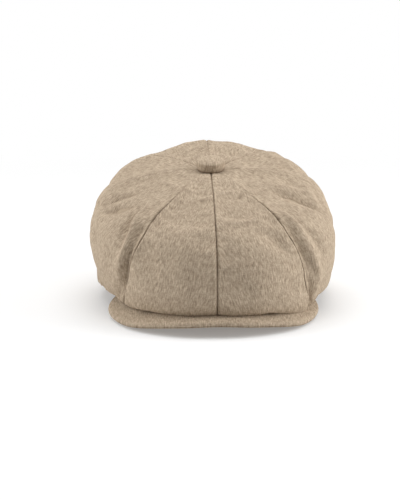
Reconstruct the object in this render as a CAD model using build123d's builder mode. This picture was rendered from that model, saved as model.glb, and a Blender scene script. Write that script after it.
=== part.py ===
"""Eight-panel newsboy cap, resting on a table on its peak and the back of its headband.

The frame is in millimetres with +Z up. The origin lies on the table, midway along the cap's
length and width, under the covered button. The peak points along -Y, and the wearer's left
is +X. Cloth pieces are smooth closed shells of the cloth's thickness.
"""
import math
import os
from collections import namedtuple

from build123d import *

os.makedirs("parts", exist_ok=True)

# Cloth and board thicknesses
CLOTH = 1.4
LINING_CLOTH = 0.6
BOARD = 1.6
PEAK_CLOTH = 1.2

# Head opening: half width and half length inside the sweatband, and its centre behind the button
HEAD_HALF_WIDTH = 81.5
HEAD_HALF_LENGTH = 99.0
HEAD_CENTRE_Y = 14.0
HEAD_PITCH = 7.0  # the opening's plane rises towards the peak, in degrees
BAND_HEIGHT = 24.0
SWEATBAND_HEIGHT = 24.0
SWEATBAND = 1.2
INTERLINING = 0.8
INTERLINING_MARGIN = 2.0  # the interlining stops this far below the band's top edge
BAND_GAP = 0.2  # play between the layers of the band
CROWN_ROLL = 0.6  # the crown's cloth rolls this far out past the band's top edge
CROWN_ROLL_RISE = 0.05

# Distances of the band's layers outwards from the head
INTERLINING_IN = SWEATBAND + BAND_GAP
INTERLINING_OUT = INTERLINING_IN + INTERLINING
BAND_IN = INTERLINING_OUT + BAND_GAP
BAND_OUT = BAND_IN + CLOTH

# Trim sewn inside the sweatband at the back of the head
TAPE = 0.7
TAPE_WIDTH = 12.0
TAPE_BOTTOM = 0.5
TAPE_TOP = 23.5
LABEL = 0.5
LABEL_WIDTH = 30.0
LABEL_BOTTOM = 5.0
LABEL_TOP = 20.0
LABEL_OFFSET = 30.0  # its middle, to the wearer's left of the tape

# Peak: a crescent cut from an arched sheet that slopes down to its nose
PEAK_NOSE_Y = -149.0
PEAK_NOSE_Z = 14.0  # its upper face, at the nose
PEAK_SLOPE = 12.0
PEAK_ARCH = 213.0  # radius of the arch across it
PEAK_SHOULDER = (76.0, -117.0)
PEAK_CORNER = (95.5, -60.0)
PEAK_TIP = (76.0, -38.0)
PEAK_SEAM_GAP = 0.8  # between the peak's inner edge and the headband
PEAK_RIM = 2.2  # cloth turned round the board's edge
PEAK_SHEET_LENGTH = 170.0
PEAK_OVERRUN = 20.0  # the uncut sheet runs on past the nose
ARCH_HALF_ANGLE = 45.0

# Covered button on the crown; its heights are measured up from the crown's outer face
BUTTON_RADIUS = 12.8
BUTTON_HEIGHT = 7.2
BUTTON_SIDE = 3.2  # height of its upright side
BUTTON_BEVEL = 0.8
BUTTON_DOME_START = (-0.4, 1.0)  # direction in which its domed top leaves that side
BUTTON_GAP = 0.4  # its underside clears the crown by this much
BUTTON_PITCH = 9.0  # the crown's top leans towards the peak
COVER_CLOTH = 0.7
COVER_LIP = 3.2  # cloth gathered under the rim
SHELL = 0.6
BACK_PLATE = 0.8
SHANK_RADIUS = 1.9
SHANK_BORE = 1.1
SHANK_SHOULDER = 3.4
SHANK_HEAD = 0.7
WASHER_RADIUS = 7.0
WASHER = 0.8
WASHER_GAP = 0.3  # play between the washer and the crown's inner face
CROWN_HOLE = 2.3
LINING_HOLE = 0.5  # the pinhole where the lining's gores meet

Ring = namedtuple("Ring", "half_width half_length centre_y centre_z pitch")


def ring_plane(ring):
    """The plane of an oval ring, leaning by its pitch: positive lifts its back."""
    lean = math.radians(ring.pitch)
    return Plane(
        origin=(0, ring.centre_y, ring.centre_z),
        x_dir=(1, 0, 0),
        z_dir=(0, -math.sin(lean), math.cos(lean)),
    )


def band_edge_z(y, height=0.0):
    """Height of the headband's lower edge above the table, or of a line that far up the band."""
    back = HEAD_CENTRE_Y + HEAD_HALF_LENGTH + BAND_OUT
    return (back - y) * math.tan(math.radians(HEAD_PITCH)) + height


def head_ring(outwards, height):
    """An oval round the head, that far outwards from it and that far up the band."""
    return Ring(
        HEAD_HALF_WIDTH + outwards,
        HEAD_HALF_LENGTH + outwards,
        HEAD_CENTRE_Y,
        band_edge_z(HEAD_CENTRE_Y, height),
        -HEAD_PITCH,
    )


# The crown swells from the band's top edge, out and under, round its widest and up to the button
CROWN_RINGS = [
    head_ring(BAND_IN, BAND_HEIGHT),
    head_ring(BAND_OUT + CROWN_ROLL, BAND_HEIGHT + CROWN_ROLL_RISE),
    Ring(98.0, 121.0, 7.0, 20.5, -5.0),
    Ring(109.0, 139.0, 4.0, 14.0, -3.0),
    Ring(116.0, 144.0, 3.0, 30.0, -1.0),
    Ring(119.5, 143.5, 4.0, 55.0, 3.0),
    Ring(115.0, 136.0, 6.0, 85.0, 6.0),
    Ring(98.0, 115.0, 10.0, 108.0, 9.0),
    Ring(68.0, 82.0, 12.0, 121.0, 10.5),
    Ring(33.0, 41.0, 8.0, 125.0, 10.0),
    Ring(10.0, 10.0, 0.0, 124.0, BUTTON_PITCH),
    Ring(CROWN_HOLE, CROWN_HOLE, 0.0, 124.0, BUTTON_PITCH),
]

# The lining stands straighter inside it, from the sweatband's top edge
LINING_RINGS = [
    head_ring(SWEATBAND, SWEATBAND_HEIGHT + BAND_GAP),
    Ring(89.0, 107.0, 12.0, 66.0, -6.0),
    Ring(99.0, 118.0, 9.0, 84.0, 2.0),
    Ring(90.0, 106.0, 9.0, 102.0, 7.0),
    Ring(64.0, 77.0, 10.0, 114.0, 9.0),
    Ring(32.0, 39.0, 7.0, 119.0, 9.5),
    Ring(10.0, 10.0, 0.0, 118.8, BUTTON_PITCH),
    Ring(LINING_HOLE, LINING_HOLE, 0.0, 118.8, BUTTON_PITCH),
]

# The eight wedges round the button, by the azimuths of their two seams. The front pair is narrower.
FRONT_SEAM = -54.0
PANELS = {
    "front_left": (-90.0, FRONT_SEAM),
    "side_front_left": (FRONT_SEAM, 0.0),
    "side_back_left": (0.0, 45.0),
    "back_left": (45.0, 90.0),
    "back_right": (90.0, 135.0),
    "side_back_right": (135.0, 180.0),
    "side_front_right": (180.0, 180.0 - FRONT_SEAM),
    "front_right": (180.0 - FRONT_SEAM, 270.0),
}
GORE_SECTIONS = 4


def save(shape, name):
    """Labels one finished piece and writes it under its own name."""
    shape.label = name
    export_step(shape, f"parts/{name}.step")


def meridian(rings, azimuth):
    """Where an upright plane through the button's axis meets the rings: distances out, and heights."""
    across = math.cos(math.radians(azimuth))
    along = math.sin(math.radians(azimuth))
    points = []
    for ring in rings:
        square = (across / ring.half_width) ** 2 + (along / ring.half_length) ** 2
        shift = along * ring.centre_y / ring.half_length**2
        over = (ring.centre_y / ring.half_length) ** 2 - 1
        out = (shift + math.sqrt(shift**2 - square * over)) / square
        rise = (out * along - ring.centre_y) * math.tan(math.radians(ring.pitch))
        points.append(Vector(out, ring.centre_z + rise))
    return points


def inner_points(points, thickness):
    """The points moved square to their line, to the inside of the cloth."""
    moved = []
    for i, point in enumerate(points):
        run = points[min(i + 1, len(points) - 1)] - points[max(i - 1, 0)]
        moved.append(point + Vector(-run.Y, run.X) * (thickness / run.length))
    return moved


def gore(rings, thickness, first, last):
    """One wedge of a cloth dome, lofted through upright sections from one seam to the next."""
    with BuildPart() as wedge:
        for step in range(GORE_SECTIONS):
            turn = first + (last - first) * step / (GORE_SECTIONS - 1)
            aim = math.radians(turn)
            outer = meridian(rings, turn)
            inner = inner_points(outer, thickness)
            upright = Plane(
                origin=(0, 0, 0),
                x_dir=(math.cos(aim), math.sin(aim), 0),
                z_dir=(math.sin(aim), -math.cos(aim), 0),
            )
            with BuildSketch(upright):
                with BuildLine():
                    Spline(*outer)
                    Line(outer[-1], inner[-1])
                    Spline(*reversed(inner))
                    Line(inner[0], outer[0])
                make_face()
        loft()
    return wedge


def band_ring(inner, outer, bottom, top):
    """An upright oval ring round the head, cut to the leaning opening at both edges."""
    with BuildPart() as ring:
        with BuildSketch(Plane(origin=(0, HEAD_CENTRE_Y, 0))):
            Ellipse(HEAD_HALF_WIDTH + outer, HEAD_HALF_LENGTH + outer)
            Ellipse(HEAD_HALF_WIDTH + inner, HEAD_HALF_LENGTH + inner, mode=Mode.SUBTRACT)
        extrude(amount=band_edge_z(HEAD_CENTRE_Y - HEAD_HALF_LENGTH, top + CLOTH))
        split(bisect_by=ring_plane(head_ring(0, bottom)), keep=Keep.TOP)
        split(bisect_by=ring_plane(head_ring(0, top)), keep=Keep.BOTTOM)
    return ring


def back_patch(thickness, centre_x, width, bottom, top):
    """A strip of trim lying against the sweatband's inner face at the back of the head."""
    with BuildPart() as patch:
        add(band_ring(-thickness, 0, bottom, top).part)
        with BuildSketch(Plane.XY):
            with Locations((centre_x, HEAD_CENTRE_Y + HEAD_HALF_LENGTH)):
                Rectangle(width, HEAD_HALF_LENGTH)
        extrude(amount=SWEATBAND_HEIGHT * 2, mode=Mode.INTERSECT)
    return patch


def peak_point(point, inset):
    """A point of the peak's outline, drawn in towards the middle of the peak."""
    x, y = point
    reach = math.hypot(x, y - PEAK_CORNER[1])
    keep = 1 - inset / reach
    return x * keep, PEAK_CORNER[1] + (y - PEAK_CORNER[1]) * keep


def peak_layer(top, bottom, inset=0.0):
    """A layer of the peak between two depths under its upper face, inset from the outline."""
    slope = math.radians(PEAK_SLOPE)
    rearwards = Vector(0, math.cos(slope), math.sin(slope))
    start = Vector(0, PEAK_NOSE_Y, PEAK_NOSE_Z) - rearwards * PEAK_OVERRUN
    across = math.sin(math.radians(ARCH_HALF_ANGLE))
    over = PEAK_ARCH - top
    under = PEAK_ARCH - bottom
    with BuildPart() as layer:
        with BuildSketch(Plane(origin=start, x_dir=(-1, 0, 0), z_dir=rearwards)):
            with BuildLine():
                upper = ThreePointArc(
                    (-over * across, over * across - PEAK_ARCH),
                    (0, -top),
                    (over * across, over * across - PEAK_ARCH),
                )
                lower = ThreePointArc(
                    (-under * across, under * across - PEAK_ARCH),
                    (0, -bottom),
                    (under * across, under * across - PEAK_ARCH),
                )
                Line(upper @ 0, lower @ 0)
                Line(upper @ 1, lower @ 1)
            make_face()
        extrude(amount=PEAK_SHEET_LENGTH)
        with BuildSketch(Plane.XY.offset(-PEAK_ARCH / 2)):
            left = [peak_point(corner, inset) for corner in (PEAK_TIP, PEAK_CORNER, PEAK_SHOULDER)]
            right = [(-x, y) for x, y in reversed(left)]
            with BuildLine():
                rim = Spline(*left, peak_point((0, PEAK_NOSE_Y), inset), *right)
                Line(rim @ 1, rim @ 0)
            make_face()
            with Locations((0, HEAD_CENTRE_Y)):
                Ellipse(
                    HEAD_HALF_WIDTH + BAND_OUT + PEAK_SEAM_GAP + inset,
                    HEAD_HALF_LENGTH + BAND_OUT + PEAK_SEAM_GAP + inset,
                    mode=Mode.SUBTRACT,
                )
        extrude(amount=PEAK_ARCH, mode=Mode.INTERSECT)
    return layer


def button_blank(skin):
    """The button's solid form, taken in on every side by a skin's thickness."""
    radius = BUTTON_RADIUS - skin
    base = BUTTON_GAP + skin
    top = BUTTON_HEIGHT - skin
    shoulder = BUTTON_GAP + BUTTON_SIDE - skin / 2
    with BuildPart() as blank:
        with BuildSketch(Plane.XZ):
            with BuildLine():
                Line((0, base), (radius - BUTTON_BEVEL, base))
                Line((radius - BUTTON_BEVEL, base), (radius, base + BUTTON_BEVEL))
                Line((radius, base + BUTTON_BEVEL), (radius, shoulder))
                Spline((radius, shoulder), (0, top), tangents=[BUTTON_DOME_START, (-1, 0)])
                Line((0, top), (0, base))
            make_face()
        revolve(axis=Axis.Z)
    return blank


def turned_disc(radius, bottom, top, hole):
    """A flat round piece on the button's axis with a round hole through it."""
    with BuildPart() as disc:
        with BuildSketch(Plane.XY.offset(bottom)):
            Circle(radius)
            Circle(hole, mode=Mode.SUBTRACT)
        extrude(amount=top - bottom)
    return disc


# Crown, with the button's hole at its top, and the lining
for name, seams in PANELS.items():
    save(gore(CROWN_RINGS, CLOTH, *seams).part, f"crown_{name}")
    save(gore(LINING_RINGS, LINING_CLOTH, *seams).part, f"lining_{name}")

# Headband, its interlining and the sweatband
save(band_ring(BAND_IN, BAND_OUT, 0, BAND_HEIGHT).part, "headband")
save(
    band_ring(INTERLINING_IN, INTERLINING_OUT, 0, BAND_HEIGHT - INTERLINING_MARGIN).part,
    "headband_interlining",
)
save(band_ring(0, SWEATBAND, 0, SWEATBAND_HEIGHT).part, "sweatband")

# Trim at the back of the head: the tape over the sweatband's join, and a blank label
save(back_patch(TAPE, 0, TAPE_WIDTH, TAPE_BOTTOM, TAPE_TOP).part, "back_seam_tape")
save(
    back_patch(LABEL, LABEL_OFFSET, LABEL_WIDTH, LABEL_BOTTOM, LABEL_TOP).part,
    "size_label",
)

# Peak: board, the top cover that turns round its rim, and the under cover
under_face = PEAK_CLOTH + BOARD
board = peak_layer(PEAK_CLOTH, under_face, PEAK_RIM)
with BuildPart() as top_cover:
    add(peak_layer(0, under_face).part)
    add(board.part, mode=Mode.SUBTRACT)
save(top_cover.part, "peak_top_cover")
save(board.part, "peak_board")
save(peak_layer(under_face, under_face + PEAK_CLOTH).part, "peak_under_cover")

# Covered button, built upright and then set on the leaning crown
button_seat = ring_plane(CROWN_RINGS[-1]).location
plate_bottom = BUTTON_GAP + COVER_CLOTH
plate_top = plate_bottom + BACK_PLATE
shell_skin = COVER_CLOTH + SHELL

with BuildPart() as button_cover:
    add(button_blank(0).part)
    add(button_blank(COVER_CLOTH).part, mode=Mode.SUBTRACT)
    with BuildSketch(Plane.XY):
        Circle(BUTTON_RADIUS - COVER_LIP)
    extrude(amount=plate_bottom, mode=Mode.SUBTRACT)
save(button_cover.part.moved(button_seat), "button_cover")

with BuildPart() as button_shell:
    add(button_blank(COVER_CLOTH).part)
    add(button_blank(shell_skin).part, mode=Mode.SUBTRACT)
    with BuildSketch(Plane.XY):
        Circle(BUTTON_RADIUS - COVER_LIP)
    extrude(amount=plate_top, mode=Mode.SUBTRACT)
save(button_shell.part.moved(button_seat), "button_shell")

plate = turned_disc(BUTTON_RADIUS - COVER_LIP, plate_bottom, plate_top, SHANK_RADIUS)
save(plate.part.moved(button_seat), "button_back_plate")

washer_top = -CLOTH - WASHER_GAP
washer_bottom = washer_top - WASHER
washer = turned_disc(WASHER_RADIUS, washer_bottom, washer_top, SHANK_RADIUS)
save(washer.part.moved(button_seat), "button_washer")

with BuildPart() as button_shank:
    add(turned_disc(SHANK_RADIUS, washer_bottom, plate_top, SHANK_BORE).part)
    add(turned_disc(SHANK_SHOULDER, 0, plate_bottom, SHANK_BORE).part)
    add(turned_disc(SHANK_SHOULDER, plate_top, plate_top + SHANK_HEAD, SHANK_BORE).part)
    add(turned_disc(SHANK_SHOULDER, washer_bottom - SHANK_HEAD, washer_bottom, SHANK_BORE).part)
save(button_shank.part.moved(button_seat), "button_shank")
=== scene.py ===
"""A soft newsboy cap in heathered cloth, lying on a pale table.

Metres throughout, in the CAD frame: the peak points along -Y and the wearer's left is +X.
"""
import math

import bpy
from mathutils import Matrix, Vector, noise


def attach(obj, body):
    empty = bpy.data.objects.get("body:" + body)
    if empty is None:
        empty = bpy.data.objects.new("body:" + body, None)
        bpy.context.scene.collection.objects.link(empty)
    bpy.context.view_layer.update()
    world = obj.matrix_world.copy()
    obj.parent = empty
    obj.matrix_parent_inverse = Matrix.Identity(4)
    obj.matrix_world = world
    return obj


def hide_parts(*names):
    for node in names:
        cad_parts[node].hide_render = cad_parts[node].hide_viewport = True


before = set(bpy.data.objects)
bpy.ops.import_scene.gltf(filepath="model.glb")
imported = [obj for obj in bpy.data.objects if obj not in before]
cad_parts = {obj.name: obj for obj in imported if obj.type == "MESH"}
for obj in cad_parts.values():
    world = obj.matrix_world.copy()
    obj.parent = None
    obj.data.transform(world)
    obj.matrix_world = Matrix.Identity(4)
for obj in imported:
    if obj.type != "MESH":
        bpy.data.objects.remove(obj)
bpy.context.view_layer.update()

# Head opening and the layers of the band, outwards from the head
HEAD_HALF_WIDTH = 0.0815
HEAD_HALF_LENGTH = 0.099
HEAD_CENTRE_Y = 0.014
HEAD_PITCH = math.radians(7)
SWEATBAND_OUT = 0.0012
INTERLINING_IN = 0.0014
INTERLINING_OUT = 0.0022
BAND_IN = 0.0024
BAND_OUT = 0.0038
BAND_HEIGHT = 0.024
SWEATBAND_HEIGHT = 0.024
ABOVE_BAND = 0.0002  # the crown and the lining start this far above the band

# Crown and lining: cloth thickness, and how finely each panel is divided
PANEL_CLOTH = 0.0014
PANEL_COLUMNS = 40
PANEL_ROWS = 76
LINING_CLOTH = 0.0006
LINING_COLUMNS = 20
LINING_ROWS = 36

# The eight panels, by the azimuths of their two seams in degrees, from the wearer's left
FRONT_SEAM = -54
PANELS = {
    "front_left": (-90, FRONT_SEAM),
    "side_front_left": (FRONT_SEAM, 0),
    "side_back_left": (0, 45),
    "back_left": (45, 90),
    "back_right": (90, 135),
    "side_back_right": (135, 180),
    "side_front_right": (180, 180 - FRONT_SEAM),
    "front_right": (180 - FRONT_SEAM, 270),
}
# How the front pair of seams bows in towards the middle of the front: share of the way up, degrees
FRONT_SEAM_BOW = [(0.0, -7.0), (0.2, -8.5), (0.34, -2.0), (0.5, 2.5), (0.78, 5.0), (1.0, 0.0)]
SEAM_DEPTH = 0.0016
SEAM_WIDTH = 0.0007
SEAM_ALLOWANCE = 0.0030  # the lip over the turned-in edge stands this far from the seam
SEAM_LIP = 0.0005
SEAM_LIP_WIDTH = 0.0016
# How plainly each seam shows, from 0 to 1, by its azimuth
SEAM_STRENGTH = {-90: 0.75, FRONT_SEAM: 0.75, 0: 0.25, 45: 0.4, 90: 0.4, 135: 0.4, 180: 0.25,
                 180 - FRONT_SEAM: 0.75, 270: 0.75}
PILLOW = 0.0022  # how far a panel puffs out between its seams
CROWN_FLOP = 0.0016  # the slack crown lies over to the wearer's left by this much

# The cloth simulation that gives the crown its rucks
SETTLE_FRAMES = 24
SETTLE_CAP = 0.0035  # a point moves no further than this
SEWN_COLUMNS = 4  # the hold fades over this many columns from a seam,
SEWN_HEM_ROWS = 3  # and over this many rows, after as many held ones, from the hem,
SEWN_TOP_ROWS = 10  # and from the button
SLIGHT_HOLD = 0.03


# ---------------------------------------------------------------- mesh helpers

MEETING_POINTS = 0.00002


def wake(obj):
    """Makes obj the only selected object, and the active one."""
    bpy.ops.object.select_all(action="DESELECT")
    obj.select_set(True)
    bpy.context.view_layer.objects.active = obj


def apply_modifiers(obj):
    """Turns an object's modifiers into its mesh, in their order."""
    wake(obj)
    for modifier in list(obj.modifiers):
        bpy.ops.object.modifier_apply(modifier=modifier.name)


def cloth_grid(name, rows, uvs, closed=False):
    """A quad mesh through rows of points, with a UV for each point. closed merges meeting edges."""
    across = len(rows[0])
    points = [p for row in rows for p in row]
    flat_uvs = [uv for row in uvs for uv in row]
    faces = []
    for r in range(len(rows) - 1):
        for c in range(across - 1):
            a = r * across + c
            faces.append((a, a + 1, a + across + 1, a + across))
    mesh = bpy.data.meshes.new(name)
    mesh.from_pydata(points, [], faces)
    layer = mesh.uv_layers.new(name="UVMap")
    for loop in mesh.loops:
        layer.data[loop.index].uv = flat_uvs[loop.vertex_index]
    obj = bpy.data.objects.new(name, mesh)
    bpy.context.collection.objects.link(obj)
    if closed:
        wake(obj)
        bpy.ops.object.mode_set(mode="EDIT")
        bpy.ops.mesh.select_all(action="SELECT")
        bpy.ops.mesh.remove_doubles(threshold=MEETING_POINTS)
        bpy.ops.object.mode_set(mode="OBJECT")
    return obj


def face_outwards(obj, inside=False):
    """Makes a mesh's faces agree, turned outwards, or inwards if inside is set."""
    wake(obj)
    bpy.ops.object.mode_set(mode="EDIT")
    bpy.ops.mesh.select_all(action="SELECT")
    bpy.ops.mesh.normals_make_consistent(inside=inside)
    bpy.ops.object.mode_set(mode="OBJECT")


def finish_piece(obj, material, body, slot, *nodes):
    """Gives a piece its finish, smooth shading and body, and hides the CAD nodes it stands for. slot is
    not used.
    """
    obj.data.materials.clear()
    obj.data.materials.append(material)
    obj.data.polygons.foreach_set("use_smooth", [True] * len(obj.data.polygons))
    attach(obj, body)
    if nodes:
        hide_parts(*nodes)


def flat_cut(obj):
    """The width, length and area of one layer of cloth laid flat, from its UVs in metres."""
    layer = obj.data.uv_layers.active.data
    across = [loop.uv.x for loop in layer]
    along = [loop.uv.y for loop in layer]
    area = 0.0
    for face in obj.data.polygons:
        corners = [layer[i].uv for i in face.loop_indices]
        area += abs(sum(a.x * b.y - b.x * a.y for a, b in zip(corners, corners[1:] + corners[:1]))) / 2
    return (max(across) - min(across), max(along) - min(along)), area


# ---------------------------------------------------------------- shapes of the cap


def band_z(y, height=0.0):
    """Height above the table of a line that far up the leaning band."""
    back = HEAD_CENTRE_Y + HEAD_HALF_LENGTH + BAND_OUT
    return (back - y) * math.tan(HEAD_PITCH) + height


def head_ring(outwards, height):
    """The ring at the head opening, that far out from the head and up the band."""
    return (
        HEAD_HALF_WIDTH + outwards,
        HEAD_HALF_LENGTH + outwards,
        HEAD_CENTRE_Y,
        band_z(HEAD_CENTRE_Y, height),
        -math.degrees(HEAD_PITCH),
    )


# Each ring: half width, half length, centre y, centre height, and its lean in degrees
CROWN_RINGS = [
    head_ring(BAND_IN, BAND_HEIGHT + ABOVE_BAND),
    head_ring(BAND_OUT + 0.0006, BAND_HEIGHT + ABOVE_BAND),
    (0.0965, 0.1200, 0.007, 0.0205, -5.0),
    (0.1070, 0.1370, 0.004, 0.0140, -3.0),
    (0.1115, 0.1420, 0.003, 0.0300, -1.0),
    (0.1140, 0.1415, 0.004, 0.0550, 3.0),
    (0.1090, 0.1340, 0.006, 0.0850, 6.0),
    (0.0935, 0.1125, 0.010, 0.1080, 9.0),
    (0.0640, 0.0790, 0.012, 0.1210, 10.5),
    (0.0330, 0.0410, 0.008, 0.1250, 10.0),
    (0.0135, 0.0135, 0.000, 0.1240, 9.0),
    (0.0022, 0.0022, 0.000, 0.1240, 9.0),
]
LINING_RINGS = [
    head_ring(SWEATBAND_OUT, SWEATBAND_HEIGHT + ABOVE_BAND),
    (0.0890, 0.1070, 0.012, 0.0660, -6.0),
    (0.0990, 0.1180, 0.009, 0.0840, 2.0),
    (0.0900, 0.1060, 0.009, 0.1020, 7.0),
    (0.0640, 0.0770, 0.010, 0.1140, 9.0),
    (0.0320, 0.0390, 0.007, 0.1190, 9.5),
    (0.0100, 0.0100, 0.000, 0.1188, 9.0),
    (0.0006, 0.0006, 0.000, 0.1188, 9.0),
]


def meridian(rings, azimuth):
    """Where an upright plane through the button's axis meets the rings: (distance out, height)."""
    across, along = math.cos(azimuth), math.sin(azimuth)
    points = []
    for half_width, half_length, centre_y, centre_z, lean in rings:
        square = (across / half_width) ** 2 + (along / half_length) ** 2
        shift = along * centre_y / half_length**2
        over = (centre_y / half_length) ** 2 - 1
        out = (shift + math.sqrt(shift**2 - square * over)) / square
        rise = (out * along - centre_y) * math.tan(math.radians(lean))
        points.append(Vector((out, centre_z + rise)))
    return points


def smooth_line(points, steps=10):
    """A centripetal Catmull-Rom line through 2D or 3D points, as a fine list of points."""
    ends = [points[0] * 2 - points[1], *points, points[-1] * 2 - points[-2]]
    line = []
    for i in range(1, len(ends) - 2):
        p0, p1, p2, p3 = ends[i - 1:i + 3]
        t0 = 0.0
        t1 = t0 + max((p1 - p0).length, 1e-6) ** 0.5
        t2 = t1 + max((p2 - p1).length, 1e-6) ** 0.5
        t3 = t2 + max((p3 - p2).length, 1e-6) ** 0.5
        for k in range(steps):
            t = t1 + (t2 - t1) * k / steps
            a1 = p0 * ((t1 - t) / (t1 - t0)) + p1 * ((t - t0) / (t1 - t0))
            a2 = p1 * ((t2 - t) / (t2 - t1)) + p2 * ((t - t1) / (t2 - t1))
            a3 = p2 * ((t3 - t) / (t3 - t2)) + p3 * ((t - t2) / (t3 - t2))
            b1 = a1 * ((t2 - t) / (t2 - t0)) + a2 * ((t - t0) / (t2 - t0))
            b2 = a2 * ((t3 - t) / (t3 - t1)) + a3 * ((t - t1) / (t3 - t1))
            line.append(b1 * ((t2 - t) / (t2 - t1)) + b2 * ((t - t1) / (t2 - t1)))
    line.append(points[-1].copy())
    return line


def evenly(line, count):
    """count points evenly spaced along a line, and the line's length."""
    travelled = [0.0]
    for a, b in zip(line, line[1:]):
        travelled.append(travelled[-1] + (b - a).length)
    total = travelled[-1]
    placed = []
    i = 0
    for k in range(count):
        want = total * k / (count - 1)
        while i < len(line) - 2 and travelled[i + 1] < want:
            i += 1
        span = travelled[i + 1] - travelled[i]
        placed.append(line[i].lerp(line[i + 1], (want - travelled[i]) / span if span else 0.0))
    return placed, total


def bump(x, width):
    """A smooth bump of height 1 round x = 0."""
    return math.exp(-(x / width) ** 2)


def clamp(x):
    """x held between 0 and 1."""
    return min(1.0, max(0.0, x))


# Creases of the slack cloth: azimuth and share of the way up at both ends, half width, and height
# before CREASE_SCALE
CREASES = [
    # outside each front seam: the valley against it, the fold that stands, and the valley beyond
    (-55, 0.53, -50, 0.33, 0.0034, -0.0018),
    (-50, 0.33, -43, 0.19, 0.0030, -0.0022),
    (-51, 0.60, -48, 0.44, 0.0046, 0.0022),
    (-48, 0.44, -42, 0.28, 0.0044, 0.0022),
    (-45, 0.54, -38, 0.36, 0.0038, -0.0014),
    (-126, 0.54, -128, 0.41, 0.0038, -0.0026),
    (-128, 0.41, -134, 0.22, 0.0032, -0.0030),
    (-134, 0.62, -130, 0.46, 0.0048, 0.0026),
    (-130, 0.46, -134, 0.30, 0.0042, 0.0028),
    (-139, 0.60, -134, 0.44, 0.0050, -0.0024),
    # slack across the sides
    (-34, 0.69, -20, 0.51, 0.0050, -0.0034),
    (-27, 0.72, -12, 0.58, 0.0060, 0.0016),
    (-16, 0.50, -2, 0.30, 0.0060, -0.0022),
    (-167, 0.54, -156, 0.68, 0.0042, -0.0020),
    (-163, 0.51, -144, 0.60, 0.0045, -0.0026),
    (-170, 0.42, -156, 0.40, 0.0060, -0.0018),
    # shallow dents in the front panels
    (-66, 0.50, -59, 0.38, 0.0065, -0.0016),
    (-64, 0.31, -56, 0.30, 0.0060, -0.0016),
    (-112, 0.30, -122, 0.46, 0.0100, -0.0014),
    (-98, 0.36, -80, 0.30, 0.0120, -0.0012),
    # and in the back
    (62, 0.45, 78, 0.66, 0.0070, -0.0026),
    (118, 0.40, 104, 0.62, 0.0070, -0.0026),
    (30, 0.42, 16, 0.64, 0.0065, -0.0026),
    (150, 0.44, 166, 0.62, 0.0065, -0.0026),
]
CREASE_SCALE = 1.9
CREASE_END = 0.12  # a crease still has sin(pi * this) of its height where it starts and ends
UNROLLED_RADIUS = 0.105
UNROLLED_LENGTH = 0.235


def crease_lift(azimuth, t):
    """How far the listed creases lift the cloth at a place on the crown."""
    lift = 0.0
    for start, start_t, end, end_t, width, height in CREASES:
        turn = (math.degrees(azimuth) - start + 180) % 360 - 180
        here = Vector((math.radians(turn) * UNROLLED_RADIUS, (t - start_t) * UNROLLED_LENGTH))
        run = Vector((math.radians(end - start) * UNROLLED_RADIUS, (end_t - start_t) * UNROLLED_LENGTH))
        share = clamp(here.dot(run) / run.length_squared)
        fade = math.sin(math.pi * (CREASE_END + (1 - 2 * CREASE_END) * share))
        lift += height * fade * bump((here - run * share).length, width)
    return lift


def between(table, x):
    """Reads a value between the rows of a short table of (x, value), easing from row to row."""
    for (x0, v0), (x1, v1) in zip(table, table[1:]):
        if x <= x1:
            share = (x - x0) / (x1 - x0)
            share = share * share * (3 - 2 * share)
            return v0 + (v1 - v0) * share
    return table[-1][1]


def dome(rings, rows):
    """A round of meridians, one for each degree, each with its points evenly spaced."""
    return [evenly(smooth_line(meridian(rings, math.radians(degree))), rows) for degree in range(360)]


def on_dome(meridians, turn, r):
    """Distance out, height, outward normal and length so far, on row r of the dome."""
    degree = math.degrees(turn) % 360
    low = int(degree)
    share = degree - low
    (line, length), (line_next, length_next) = meridians[low], meridians[(low + 1) % 360]
    last = len(line) - 1
    here = line[r].lerp(line_next[r], share)
    run = line[min(r + 1, last)] - line[max(r - 1, 0)]
    run = run.lerp(line_next[min(r + 1, last)] - line_next[max(r - 1, 0)], share).normalized()
    along = (length + (length_next - length) * share) * r / last
    return here, Vector((run.y, -run.x)), along


EVEN_SHARE = 0.2  # how much of the columns' spacing is even; the rest crowds towards the seams
FLOP_END = 0.9  # share of the way up, past which the crown no longer flops over


def seam_turn(seam, t):
    """Where a seam runs, that share of the way up."""
    if seam == FRONT_SEAM:
        return math.radians(seam - between(FRONT_SEAM_BOW, t))
    if seam == 180 - FRONT_SEAM:
        return math.radians(seam + between(FRONT_SEAM_BOW, t))
    return math.radians(seam)


def share_across(x):
    """Spreads a panel's columns so that they crowd towards its seams."""
    return EVEN_SHARE * x + (1 - EVEN_SHARE) * (0.5 - 0.5 * math.cos(math.pi * x))


def panel_points(meridians, seams, columns, rows, lift, slack=False):
    """Rows of points from one seam to the next, with UVs in metres of cloth.

    lift gives how far each point moves out. A slack panel also sags and flops over.
    """
    point_rows, uv_rows = [], []
    for r in range(rows):
        t = r / (rows - 1)
        first, last = (seam_turn(seam, t) for seam in seams)
        strengths = [SEAM_STRENGTH[seam] for seam in seams]
        points, uvs = [], []
        for c in range(columns + 1):
            u = share_across(c / columns)
            turn = first + (last - first) * u
            here, normal, along = on_dome(meridians, turn, r)
            from_seam = min(u, 1 - u) * (last - first) * here.x
            moved = here + normal * lift(turn, t, u, from_seam, here.x, strengths[u > 0.5])
            aside = 0.0
            if slack:
                moved.y += crown_sag(turn, t)
                aside = CROWN_FLOP * math.sin(math.pi * min(1.0, t / FLOP_END)) * abs(math.cos(turn))
            points.append(Vector((moved.x * math.cos(turn) + aside, moved.x * math.sin(turn), moved.y)))
            uvs.append(((u - 0.5) * (last - first) * here.x, along))
        point_rows.append(points)
        uv_rows.append(uvs)
    return point_rows, uv_rows


def apart(turn, degrees):
    """Degrees between a turn in radians and an azimuth in degrees, the short way round."""
    return abs((math.degrees(turn) - degrees + 180) % 360 - 180)


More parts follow.
